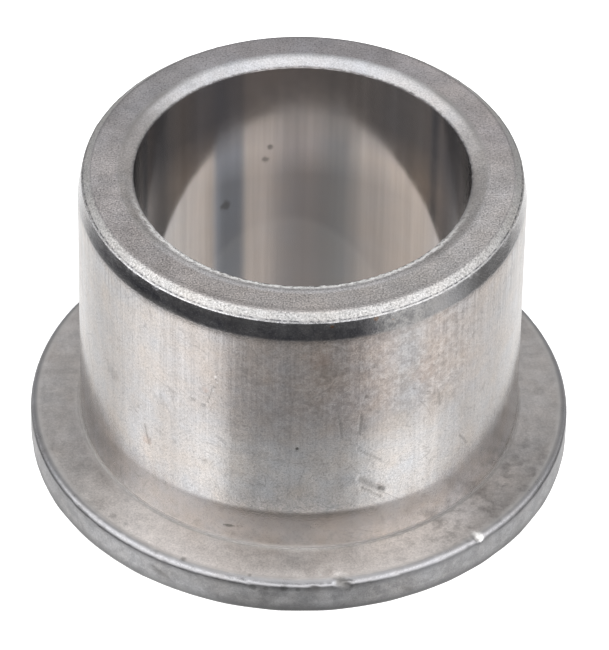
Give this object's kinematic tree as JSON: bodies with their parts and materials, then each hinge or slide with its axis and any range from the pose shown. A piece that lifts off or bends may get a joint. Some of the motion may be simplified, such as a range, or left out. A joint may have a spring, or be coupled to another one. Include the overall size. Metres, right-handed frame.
{
  "type": "flanged sleeve bushing",
  "caption": "Short plain bearing: a straight bored sleeve with a thin flange at one end and a bevelled, slightly tapered free end that leads it into its housing.",
  "frame": {"origin": "centre of the bore at the flange's outer face, the face that the bushing stands on", "axes": "+Z along the bore, from the flange towards the barrel's free end; X and Y are free, because the part is round"},
  "size_m": [0.0312, 0.0312, 0.0195],
  "materials": {
    "sintered_metal": "satin"
  },
  "bodies": {
    "root": {"flanged_sleeve": "sintered_metal"}
  },
  "joints": []
}
